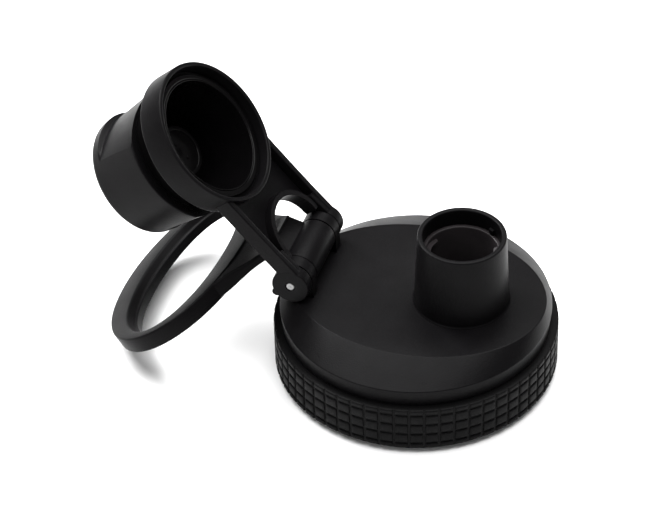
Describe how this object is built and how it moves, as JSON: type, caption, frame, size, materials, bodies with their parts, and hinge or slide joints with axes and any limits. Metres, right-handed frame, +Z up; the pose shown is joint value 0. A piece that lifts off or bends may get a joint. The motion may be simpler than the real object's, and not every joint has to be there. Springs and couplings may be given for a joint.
{
  "type": "bottle lid",
  "caption": "Wide-mouth bottle lid with a raised drinking spout, a flip arm holding a quarter-turn cap, and a hinged carry loop.",
  "frame": {"origin": "On the axis of the threaded neck opening, in the plane the lid stands on", "axes": "+Z up along the neck axis, +X from the hinge towards the spout, +Y along the hinge pin"},
  "size_m": [0.1388, 0.084, 0.0879],
  "materials": {
    "satin_black": "fine satin moulded black",
    "grip_rubber": "matte black soft grip",
    "inner_plastic": "glossy moulded black",
    "silicone": "soft matte seal",
    "pin_steel": "plain drawn steel"
  },
  "bodies": {
    "lid": {"lid_shell": "satin_black", "grip_band": "grip_rubber", "lid_liner": "inner_plastic", "neck_gasket": "silicone", "spout": "satin_black", "spout_bore": "inner_plastic", "spout_gasket": "silicone", "hinge_pin": "pin_steel"},
    "arm": {"flip_arm": "satin_black"},
    "cap_float": {"cap_retaining_ring": "inner_plastic"},
    "cap": {"cap_knob": "satin_black", "cap_cup": "inner_plastic", "cap_plug": "inner_plastic", "cap_gasket": "silicone", "plug_disc": "inner_plastic"},
    "loop": {"carry_loop": "satin_black"}
  },
  "joints": [
    {"name": "arm_flip", "type": "hinge", "parent": "lid", "child": "arm", "pos_m": [-0.0331, 0, 0.0323], "axis": [0, 1, 0], "range_deg": [0, 131.1]},
    {"name": "cap_lift", "type": "slide", "parent": "arm", "child": "cap_float", "axis": [0.7536, 0, 0.6574], "range_m": [0, 0.0026]},
    {"name": "cap_twist", "type": "hinge", "parent": "cap_float", "child": "cap", "pos_m": [-0.06402, 0, 0.06774], "axis": [0.7536, 0, 0.6574], "range_deg": [0, 90]},
    {"name": "loop_swing", "type": "hinge", "parent": "lid", "child": "loop", "pos_m": [-0.0331, 0, 0.0323], "axis": [0, 1, 0], "range_deg": [-35, 25]}
  ],
  "couplings": [
    {"joint": "cap_lift", "follows": "cap_twist", "m_per_rad": 0.0016552}
  ]
}
